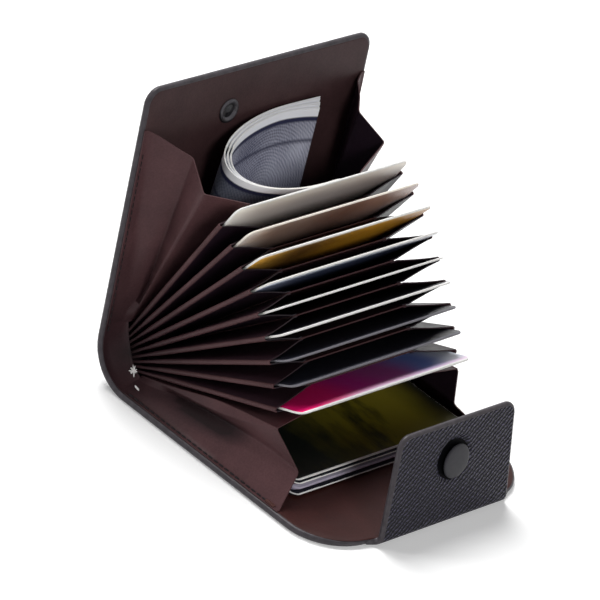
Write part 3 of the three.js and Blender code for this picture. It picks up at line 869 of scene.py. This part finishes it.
for k, plane in enumerate(SLOTS):
    number = k + 1
    inward = np.linspace(-1.0 - 0.45 * k, 2, 4)[:-1]
    R = np.repeat(np.hstack([inward, STATIONS + rise])[:, None], len(arc), 1)
    folds = Heap()
    for side in (1, -1):
        path = np.stack([fold_y * side, fold_nose * np.sin(arc)], -1)
        folds.add(*band(R, path, plane, PLEAT_SHEET, (0.0, FLAT_STEP * number)))
    strip = slab(foot, lambda s: PLEAT_HALF - 1.0 + 0 * s, -FOOT_SHEET, FOOT_SHEET, FOOT_EDGE, plane.at, 7)
    folds.add(*strip[:3])
    obj = folds.done(f"pocket_{number}_folds", [BROWN])
    press(obj, plane, 0.0)
    put(obj, f"fold_{number}", "brown_leather", f"pocket_{number}")
    for part, other, sign in (("upper", DIVIDERS[k], 1), ("lower", DIVIDERS[k + 1], -1)):
        walls = Heap()
        face = plane.height(other, STATIONS)
        end = face - sign * (PLEAT_SHEET / 2 + GAP / 2)
        level = (face - sign * (LEAF + PLEAT_SHEET / 2))[:, None]
        y = centre[:, None] + (VALLEY - centre[:, None]) * WALL_SHARES
        y = np.hstack([y, np.full_like(level, VALLEY - VALLEY_IN)])
        n = sign * nose[:, None] + (end - sign * nose)[:, None] * WALL_SHARES ** 1.25
        n = np.hstack([n, level])
        reach = rise[:, None] * (1 - WALL_SHARES)
        R = np.hstack([STATIONS[:, None] + reach, STATIONS[:, None] - 0.6])
        for side in (1, -1):
            path = np.stack([y * side, n], -1)
            walls.add(*band(R, path, plane, PLEAT_SHEET, (30.0, FLAT_STEP * number)))
        # Lower walls take the near-black painted-shade copy, upper walls the darker painted-shade copy
        leather = BROWN_INSIDE_SHADE if part == "lower" else BROWN_WALL_SHADE
        obj = walls.done(f"pocket_{number}_{part}_walls", [leather])
        press(obj, plane, sign * WALL_ANCHOR)
        put(obj, f"fold_{number}", "brown_leather", f"pocket_{number}")


# Gussets of the two wide compartments: seam on the cover, two folds, then the outer divider. The shares place
# the corners of the sheet between divider and cover; the last number is how far the seam runs on ahead
GUSSETS = [
    ("back_gusset", TOP, BACK, -COVER, DIVIDERS[0], 1, (0, 0.25, 0.64, 1), 13.0),
    ("front_gusset", LOW, FLOOR, COVER, DIVIDERS[9], -1, (0, 0.08, 0.09, 0.12, 0.4, 1), 18.0),
]
GUSSET_ROWS = np.array([-2, 0.8, 3.4, 6, 9, CARD_ROOM, *range(15, 43, 3), 46, 50, 55, DIVIDER_LENGTH])
SIDES = (("left", -1), ("right", 1))
FOLD_HALF = PLEAT_HALF - 0.5
LIP_HALF = PANEL_HALF - 0.9
SEAM_DEPTH = COVER + 0.32
# The right front gusset's lower fold is pulled back at its end
FOLD_REACH = {"left": 1.5, "right": -6.5}
# Front gussets: where along the side the upper fold rolls out, and place and height of the painted crease
# shadow below it
ROLL_AT, ROLL_SPREAD = 34.0, 17.0
CREASE_SHADE_AT, CREASE_SHADE_SPREAD, CREASE_SHADE_HIGH = 29.0, 15.0, 0.43
# Points where a front gusset's bend would start and stop, not used to bend it: along, half width, height over
# the seam
BEND_FROM, BEND_TO = (0.0, 57.9, 0.0), (-2.5, 51.45, 8.06)
first = {}


def cover_inside(s):
    """Point on the covers' inside by developed length: ahead of 0 the floor, then spine and back."""
    if s >= 0:
        return s, SEAM_DEPTH
    if s > -SPINE_RUN:
        a = -s / SPINE_RADIUS
        r = SPINE_RADIUS - SEAM_DEPTH
        return -r * math.sin(a), SPINE_RADIUS - r * math.cos(a)
    return BACK.xz(-s - SPINE_RUN, -SEAM_DEPTH)


for (name, plane, cover, face, divider, sign, shares, seam), (word, side) in product(GUSSETS, SIDES):
    front = name == "front_gusset"
    rows = GUSSET_ROWS if front else GUSSET_ROWS[1:]
    grow = np.clip((rows - CARD_ROOM) / (DIVIDER_LENGTH - CARD_ROOM), 0, 1)[:, None]
    middle = np.exp(-((rows - ROLL_AT) / ROLL_SPREAD) ** 2)[:, None]
    tucked = smoothstep((rows - 3.4) / 12.0)[:, None]
    share = np.tile(np.array(shares, float), (len(rows), 1))
    pull = 0.0
    if front:
        share[:, 4] += 0.2 * grow[:, 0] ** 3
        pull = grow * (0, 0, 0, 0, FOLD_REACH[word], -3.5)
    reach = rows[:, None] + grow * seam * share + pull
    far = plane.height(cover, reach, face) - sign * (PLEAT_SHEET / 2 + GAP / 2)
    near = plane.height(divider, reach) + sign * (PLEAT_SHEET / 2 + GAP / 2)
    n = near + (far - near) * share
    if front:
        # The upper fold rolls out in the middle of the side over a crease; the roll casts real shade there,
        # and the crease is also painted darker, a painted shadow
        n[:, 2:3] += 2.6 * middle
        out = [FOLD_HALF - 0.4 + 1.4 * middle, FOLD_HALF + 1.6 * middle, FOLD_HALF + 3.0 * middle,
               PLEAT_HALF + 1.3 - 3.3 * tucked]
    else:
        out = [FOLD_HALF + 0 * grow, PLEAT_HALF + 2.5 - 6.9 * tucked]
    y = np.hstack([VALLEY + 0 * grow, *out, SEAM_HALF + 0 * grow])
    first[name] = [plane.xz(reach[0, i], n[0, i]) for i in (2 if front else 1, -1)]
    path = divide(fillet(np.stack([y, n], -1), 0.07, 4), 6)
    R = divide(fillet(np.stack([reach, reach], -1), 0.07, 4), 6)[..., 0]
    lip_y = np.full((len(path), 1), LIP_HALF)
    path = np.hstack([path, np.stack([lip_y, path[:, -1:, 1]], -1)])
    R = np.hstack([R, R[:, -1:]])
    if front:
        # Painted shadow along the crease under the rolled fold, strongest just below the fold
        below = (path[..., 1] - n[:, 3:4]) / (n[:, -1:] - n[:, 3:4]) - CREASE_SHADE_HIGH
        crease_shade = np.exp(-((R - CREASE_SHADE_AT) / CREASE_SHADE_SPREAD) ** 2)
        crease_shade = crease_shade * np.exp(-(below / np.where(below < 0, 0.3, 0.2)) ** 2)
        crease_shade = np.minimum(2.4 * crease_shade, 1.0)
    else:
        # The sheet leaves the seam flat before it turns out
        off = np.clip((path[..., 0] - VALLEY) / (SEAM_HALF - VALLEY), 0, 1)
        bow = np.exp(-((off - 0.86) / 0.09) ** 2) * np.clip((R - 8.0) / 30.0, 0, 1)
        path[..., 1] += 1.6 * bow * (path[..., 1] < n[:, -1:] - 1.0)
    path = path * [side, 1]
    verts, faces, flat = band(R, path, plane, PLEAT_SHEET, (0.0, 700.0 + 80 * side))
    # The gusset's inside faces take the near-black copy of the brown leather, painted shade
    inside = 0 if sign * side > 0 else 1
    picks = [1 if face_side == inside else 0 for face_side in strip_sides(*R.shape)]
    obj = build(f"{name}_{word}_sheet", verts, faces, flat, [BROWN, BROWN_INSIDE_SHADE], picks)
    put(obj, None, "brown_leather", f"{name}_{word}")
    if front:
        # The painted crease shadow lowers the sheet's root distance, which the brown leathers turn into
        # painted shade
        dark = obj.data.attributes["root"].data
        both = np.hstack([crease_shade, crease_shade[:, ::-1]]).ravel()
        depth = np.array([d.value for d in dark]) * (1 - 0.96 * both)
        dark.foreach_set("value", depth.astype(np.float32))
        # Points across the sheet where its bend would start and stop; nothing uses them, and the sheet is
        # baked in place
        ends = [tuple(row(a, side * b, SEAM_DEPTH + c)) for a, b, c in (BEND_FROM, BEND_TO)]
        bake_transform(obj)
    else:
        press(obj, divider, LEAF)
        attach(obj, "leaf_01")


# Side sheets between the two gussets: along the spine's inside at the seam, and along the fan's root inside
ROOT_LINE = ((-6.2, 7.6), (-9.3, 12.0), (-12.0, 16.4))
ROOT_SHEET = 0.2
ROOT_HALF = PLEAT_HALF + 0.3
seam_low = first["front_gusset"][1][0]
seam_top = -SPINE_RUN - BACK.local(*first["back_gusset"][1])[0]
inner_line = np.array([first["front_gusset"][0], *ROOT_LINE, first["back_gusset"][0]])
turns = np.linspace(0, 1, 21)
outer_line = np.array([cover_inside(seam_low + (seam_top - seam_low) * t) for t in turns])
marks = np.linspace(0, 1, len(inner_line))
inner = np.stack([np.interp(turns, marks, inner_line[:, c]) for c in (0, 1)], 1)
across = np.linspace(0, 1, 9)
y = SEAM_HALF + (ROOT_HALF - SEAM_HALF) * np.sin(across * math.pi / 2)
y = np.hstack([[LIP_HALF], y])
across = np.hstack([[0.0], across])
x = outer_line[:, :1] + (inner[:, :1] - outer_line[:, :1]) * across
z = outer_line[:, 1:] + (inner[:, 1:] - outer_line[:, 1:]) * across
out = outer_line - (0, SPINE_RADIUS)
shift = out / np.linalg.norm(out, axis=1, keepdims=True) * ROOT_SHEET
ids = np.arange(x.size).reshape(x.shape)
rim = np.hstack([ids[0], ids[1:, -1], ids[-1, -2::-1], ids[-2:0:-1, 0]])
under = quads(ids + x.size) + quads(np.stack([rim, rim + x.size]), True)
faces = quads(ids) + [face[::-1] for face in under]
for word, side in SIDES:
    grid = [row(x, side * y, z), row(x + shift[:, :1], side * y, z + shift[:, 1:])]
    verts = np.vstack([g.reshape(-1, 3) for g in grid])
    obj = build(f"root_side_{word}_sheet", verts, faces, verts, [BROWN])
    put(obj, None, "brown_leather")
    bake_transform(obj)


# Base strip behind the fan
BASE_HALF = 44.0
BASE_TOP_HALF = 27.0
BASE_DEPTH = -COVER - GAP - 0.2
base_top = DIVIDERS[0].xz(-3.4, 1.1)
base_low = DIVIDERS[9].xz(-1.7, -1.5)
base_r = BACK.local(*base_top)[0]
base = [BACK.xz(base_r - 4.0, BASE_DEPTH), BACK.xz(base_r - 1.0, BASE_DEPTH), base_top, base_low,
        (base_low[0] + 0.3, COVER + GAP)]
base = fillet(np.array([base, base]), 0.25, 4)
half = np.linspace(BASE_TOP_HALF, BASE_HALF, base.shape[1])
verts, faces, flat = band(np.array([-half, half]), base, None, PLEAT_SHEET, (0.0, 900.0),
                          lambda y, x, z: row(x, y, z))
obj = build("bellows_base_strip", verts, faces, flat, [BROWN])
put(obj, None, "brown_leather", "bellows_base")
tuple(row(base_low[0], 0, base_low[1]))
tuple(row(base_top[0], 0, base_top[1]))
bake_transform(obj)


# Cards: printed faces and a pale core at the edge
WHITE = srgb(236, 235, 232)
GREY = srgb(120, 118, 124)
DARK = run((0.0, 34, 34, 43), (1.0, 20, 20, 27))
# A card's lip is partly painted light: its face painted lighter where it stands out of the pocket
CARDS = [
    (dict(stops=run((0.0, 226, 222, 215), (0.45, 192, 187, 183), (1.0, 150, 141, 136)),
          lip=(srgb(236, 231, 220), 9.0), border=0.5, hatch=(srgb(120, 112, 112), 0.12)), WHITE),
    (dict(stops=run((0.0, 226, 220, 216), (0.22, 170, 146, 132), (0.6, 132, 104, 92), (0.8, 170, 142, 132),
                    (1.0, 222, 206, 202)), hatch=(srgb(84, 66, 76), 0.55), border=0.4), srgb(236, 230, 220)),
    (dict(stops=run((0.0, 214, 160, 66), (0.3, 110, 76, 34), (0.7, 204, 146, 44), (1.0, 170, 120, 50)),
          lip=(srgb(238, 226, 200), 2.4), border=0.5), WHITE),
    (dict(stops=run((0.0, 150, 158, 186), (0.4, 74, 84, 112), (1.0, 34, 38, 54)),
          lip=(srgb(236, 241, 252), 8.0), border=1.3), WHITE),
    (dict(stops=DARK, lip=(srgb(160, 166, 186), 2.6), border=1.7), WHITE),
    (dict(stops=DARK, border=1.8), WHITE),
    (dict(stops=DARK, lip=(srgb(96, 96, 106), 1.6)), GREY),
    (dict(stops=DARK, lip=(srgb(110, 110, 120), 2.2)), GREY),
    (dict(stops=run((0.0, 240, 26, 112), (0.22, 232, 34, 116), (0.42, 186, 46, 138), (0.62, 160, 74, 140),
                    (0.8, 110, 128, 196), (1.0, 232, 236, 248)),
          lip=(srgb(240, 206, 232), 5.5, 0.12), border=1.1), WHITE),
]
CARD_EDGE = 0.22


def card(name, plane, start, low, look, core, body, sheet=CARD_SHEET):
    face = card_face(f"{name}_print", **look)
    edge = card_edge(f"{name}_core", core)
    end = start + CARD_SHORT
    width = rounded_half(CARD_LONG / 2, end, CARD_CORNER, start)
    S = rows_between(start, end, 8.0, CARD_EDGE, corner_rows(end, CARD_CORNER, start))

    def dev(s, y, n):
        return metres(y, s - start, n)

    verts, faces, flat, picks = slab(S, width, low, low + sheet, CARD_EDGE, plane.at, 9, rim=0.25, dev=dev)
    obj = build(f"{name}_sheet", verts, faces, flat, [face, face, edge], picks)
    put(obj, body, name, name)


for k, (look, core) in enumerate(CARDS):
    start = DIVIDER_LENGTH + PLEAT_RISE + CARD_PROUD[k] - CARD_SHORT
    card(f"card_{k + 1}", SLOTS[k], start, -CARD_SHEET / 2, look, core, f"slot_card_{k + 1}")

PLAIN = run((0.0, 188, 182, 200), (1.0, 176, 170, 190))
GOLD = run((0.0, 20, 22, 18), (0.28, 52, 50, 20), (0.6, 112, 103, 28), (0.82, 132, 121, 38),
           (1.0, 34, 34, 26))
# Face, core colour at the edge and thickness of each card from the bottom. The cores of the first and fifth
# cards, under cards that stand further out, are painted dark: painted shade under the overhang.
STACK = [
    (dict(stops=DARK), srgb(40, 34, 38), 0.76),
    (dict(stops=DARK), srgb(252, 252, 250), 0.55),
    (dict(stops=PLAIN), srgb(176, 168, 190), 0.97),
    (dict(stops=PLAIN), srgb(196, 188, 208), 0.97),
    (dict(stops=PLAIN), srgb(122, 102, 112), 0.8),
    (dict(stops=DARK), srgb(250, 249, 246), 0.5),
    (dict(stops=GOLD, blot=(srgb(15, 18, 15), 0.5), border=0.7, gloss=0.4), srgb(250, 249, 246), 0.56),
]
STACK_START, STACK_LIFT = 16.0, 0.16
for k, (look, core, sheet) in enumerate(STACK):
    low = COVER + STACK_LIFT + k
    card(f"stack_card_{k + 1}", FLOOR, STACK_START + STACK_SHIFT[k], low, look, core, "card_stack", sheet)


# Notes: nested loops of thin paper
NOTE_FOOT, NOTE_TILT, NOTE_FOOT_TILT = 11.0, 11.7, 2.5
NOTE_LEAVES = 2
NOTE_SHEET = 0.14
NOTE_KEEP, NOTE_ANCHOR = 0.075, 0.7
# Across the wallet: the two free edges, and the middle and half width of the loop
NOTE_START, NOTE_END, LOOP_MIDDLE, LOOP_HALF = 31.0, 25.0, 14.0, 40.0
NOTE_OUT = note_paper("note_outside", srgb(40, 43, 58), srgb(120, 124, 138))
NOTE_IN = note_paper("note_inside", srgb(64, 66, 90), srgb(204, 206, 220))
NOTE_EDGE = card_edge("note_edge", srgb(247, 245, 238))
note_rows = NOTE_FOOT + NOTE_HEIGHT * np.array([0, 0.1, 0.2, 0.32, 0.46, 0.6, 0.72, 0.84, 0.94, 1.0])
note_tilt = NOTE_FOOT_TILT + (NOTE_TILT - NOTE_FOOT_TILT) * (note_rows - NOTE_FOOT) / NOTE_HEIGHT
upper = ((note_rows - NOTE_FOOT) / NOTE_HEIGHT)[:, None]
far = TOP.height(BACK, note_rows, -COVER) - GAP - 0.1
near = TOP.height(DIVIDERS[0], note_rows - note_tilt) + LEAF + GAP + 0.1
angles = np.radians(np.linspace(90, 270, 33))
lead = np.linspace(0, 1, 6)[:-1]
for k in range(3):
    sheets = Heap()
    for leaf in range(NOTE_LEAVES):
        shrink = 0.75 * k + 0.24 * leaf
        top = (near + (far - near) * 0.95 - shrink)[:, None]
        foot = (near + shrink)[:, None]
        centre, radius = (top + foot) / 2, (top - foot) / 2
        start = NOTE_START - 1.2 * k - 0.5 * leaf
        end = NOTE_END - 2.0 * k - 0.6 * leaf
        turn_y = LOOP_MIDDLE + (LOOP_HALF - 1.7 * k - 0.45 * leaf) * np.cos(angles)
        leave = (turn_y[-1] + (end - turn_y[-1]) * (1 - lead))[::-1]
        y = np.hstack([start + (turn_y[0] - start) * lead, turn_y, leave])
        n = [np.repeat(top, len(lead), 1), centre + radius * np.sin(angles), np.repeat(foot, len(lead), 1)]
        n = np.hstack(n)
        # The free far corner curls away from the cover, each leaf by its own amount
        curl = np.clip((y - 8.0) / 23.0, 0, 1) ** 2 * (0.3 + 1.1 * k + 0.4 * leaf)
        n = n - curl * (n > centre) * upper
        path = np.stack([np.repeat(y[None], len(note_rows), 0), n], -1)
        R = note_rows[:, None] - note_tilt[:, None] * (top - n) / (top - foot)
        R = R - (0.55 * k + 0.16 * leaf) * upper
        verts, faces, flat = band(R, path, TOP, NOTE_SHEET)
        flat[:, 1] = np.repeat(note_rows - NOTE_FOOT, 2 * len(y)) * MM
        sheets.add(verts, faces, flat, strip_sides(*R.shape))
    obj = sheets.done(f"note_{k + 1}_sheets", [NOTE_IN, NOTE_OUT, NOTE_EDGE])
    press(obj, DIVIDERS[0], NOTE_ANCHOR)
    put(obj, "note_bundle", "note_paper", f"note_{k + 1}")


# Snap and eyelet
def on(plane, r, side, base, up):
    return lambda u, v, h: plane.at(r + u, side + v, base + up * h)


def turned_part(name, profile, place, material, body, node, closed=False):
    obj = build(name, *lathe(profile, place, closed=closed), [material], sharp=0.9)
    put(obj, body, "dark_metal", node)


SNAP_FACE = -FLAP_BEND + 0.1
SOCKET_FACE = COVER - FLAP_BEND + GAP - 0.2
DISC = CAP_RADIUS - 1.2
CAP_SIDE = 0.85
STUD_R = BACK_LENGTH - 15
cap = [(0, -0.3), (DISC - 0.6, -0.3), (DISC - 0.1, 0.0), (DISC, 0.4), (DISC - 0.25, 0.72),
       (DISC * 0.84, 0.86), (DISC * 0.5, 0.98), (0, 1.02)]
socket = [(2.35, 0.1), (5.3, 0.0), (5.5, 0.5), (5.2, 0.95), (4.3, 1.1), (3.8, 1.3), (3.65, 2.0), (3.2, 2.2),
          (2.7, 2.1), (2.35, 1.7)]
stud = [(0, -0.3), (5.2, -0.3), (5.5, 0.1), (5.3, 0.55), (3.4, 0.75), (2.6, 1.0), (1.75, 1.5), (1.7, 1.9),
        (2.1, 2.35), (1.9, 2.8), (1.3, 3.0), (0, 3.0)]
ring = [(2.3, -0.1), (4.4, -0.1), (4.5, 0.25), (4.2, 0.7), (3.6, 0.85), (3.0, 0.7), (2.5, 0.35)]
button = [(0, -0.05), (2.6, -0.05), (2.6, 0.1), (1.2, 0.16), (0.9, 0.5), (0, 0.55)]
turned_part("snap_cap_disc", smooth_profile(cap), on(FLAP, SNAP_R - 0.7, CAP_SIDE, SNAP_FACE, -1.0), MATT,
            "flap", "snap_cap")
turned_part("snap_socket_ring", smooth_profile(socket, 1), on(FLAP, SNAP_R, 0.0, SOCKET_FACE, 1.0), METAL,
            "flap", "snap_socket", True)
turned_part("snap_stud_post", smooth_profile(stud, 1), on(BACK, STUD_R, 0.0, GAP, 1.0), METAL,
            "back_cover", "snap_stud")
eyelet = Heap()
eyelet_at = on(BACK, BACK_LENGTH - 16, -13.5, -COVER - GAP + 0.2, -1.0)
eyelet.add(*lathe(smooth_profile(ring, 1), eyelet_at, closed=True), 0)
eyelet.add(*lathe(button, eyelet_at), 1)
put(eyelet.done("lining_eyelet_ring", [METAL, SHADE], 0.9), "back_cover", "dark_metal", "lining_eyelet")


# Stitching along the gusset seams, end tacks and the loose thread ends at the fan's root
STITCH_HALF = PANEL_HALF - 1.9
TACK_START, TACK_STEP = 68.0, 0.6
TUFT = (-4.8, -47.0, 7.1)
THREAD_END = (-0.7, -49.6, 4.55)
for word, side in SIDES:
    edge_y = side * STITCH_HALF
    seam = stitches(f"front_seam_{word}", lambda t: row(t, edge_y, SEAM_DEPTH + 0.36), 1.0, 70.0, 0.34)
    put(seam, "front_cover", None)
    seam = stitches(f"back_seam_{word}", lambda t: BACK.at(t, edge_y, -SEAM_DEPTH - 0.32), 2.0, 68.0, 0.2)
    press(seam, DIVIDERS[0], LEAF)
    put(seam, "leaf_01", None)
    lines = [[row(TACK_START + TACK_STEP * i, side * (SEAM_HALF - 1.0 + 2.2 * u),
                  SEAM_DEPTH + 0.4 + 0.2 * math.sin(math.pi * u)) for u in (0, 0.15, 0.5, 0.85, 1)]
             for i in range(7)]
    put(strands(f"end_tack_{word}", lines, 0.26, RED_THREAD), "front_cover", None)

random.seed(7)
lines = []
x, y, z = TUFT
for i in range(14):
    turn, lean, size = random.uniform(0, 2 * math.pi), random.uniform(-0.2, 0.9), random.uniform(1.3, 2.7)
    lines.append([row(x + size * u * math.cos(turn), y - 0.6 * size * u * max(lean, 0.1),
                      z + size * u * math.sin(turn)) for u in (0, 0.3, 0.65, 1)])
put(strands("thread_tuft", lines, 0.22, WHITE_THREAD), "front_cover", None)
x, y, z = THREAD_END
lines = [[row(x + dx + 2.5 * u, y + dy - 0.45 * u, z + 0.4 * dy) for u in (0, 0.3, 0.7, 1)]
         for dx, dy in ((0.0, 0.0), (0.4, -0.35))]
put(strands("thread_end", lines, 0.2, WHITE_THREAD), "front_cover", None)


# Camera, light and floor
DIRECTION = Vector((0.5064, -0.7071, 0.4935)).normalized()
ROLL = math.radians(-17.32)
CAMERA_AT = (1041.17, -1427.87, 1035.17)
LENS = 358.1
FLOOR_SIZE = 4.0
WORLD_LIGHT = 0.08
level = Vector((0, 0, 1)).cross(DIRECTION).normalized()
over = DIRECTION.cross(level)
up = math.cos(ROLL) * over + math.sin(ROLL) * level
right = up.cross(DIRECTION)
cam_data = bpy.data.cameras.new("camera")
cam_data.lens = LENS
cam_data.sensor_width = 36
cam_data.clip_start, cam_data.clip_end = 0.1, 20
camera = linked("camera", cam_data)
place = Vector((CAMERA_AT[0] + ORIGIN_X, *CAMERA_AT[1:])) * MM
camera.matrix_world = Matrix.Translation(place) @ Matrix((right, up, DIRECTION)).transposed().to_4x4()
bpy.context.scene.camera = camera


def area(name, at, target, size, power):
    data = bpy.data.lights.new(name, "AREA")
    data.shape, data.size, data.energy = "DISK", size, power
    lamp = linked(name, data)
    lamp.location = at
    lamp.rotation_mode = "QUATERNION"
    lamp.rotation_quaternion = (Vector(target) - Vector(at)).to_track_quat("-Z", "Y")
    return lamp


area("key_top", (-0.52, 0.12, 0.98), (0.02, 0.0, 0.03), 0.55, 12.5)
area("left", (-0.75, -0.8, 0.6), (0.0, 0.0, 0.04), 0.4, 4.0).visible_glossy = False
area("front", (1.15, -0.5, 0.8), (0.02, 0.0, 0.04), 0.5, 9.0).visible_glossy = False

world = bpy.data.worlds.new("studio")
world.use_nodes = True
bpy.context.scene.world = world
tree = world.node_tree
backdrop = tree.nodes["Background"]
backdrop.inputs["Color"].default_value = (1, 1, 1, 1)
strength = tree.nodes.new("ShaderNodeMapRange")
tree.links.new(seen(tree), strength.inputs["Value"])
strength.inputs["To Min"].default_value = WORLD_LIGHT
strength.inputs["To Max"].default_value = 1.0
tree.links.new(strength.outputs[0], backdrop.inputs["Strength"])

floor_mesh = bpy.data.meshes.new("floor")
corners = [(x * FLOOR_SIZE, y * FLOOR_SIZE, 0) for x, y in ((-1, -1), (1, -1), (1, 1), (-1, 1))]
floor_mesh.from_pydata(corners, [], [(0, 1, 2, 3)])
floor_mesh.materials.append(plain_floor("floor"))
floor = linked("floor", floor_mesh)
floor.location.z = -0.0003
floor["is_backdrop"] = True
bpy.context.scene.view_settings.view_transform = "Standard"

low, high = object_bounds()
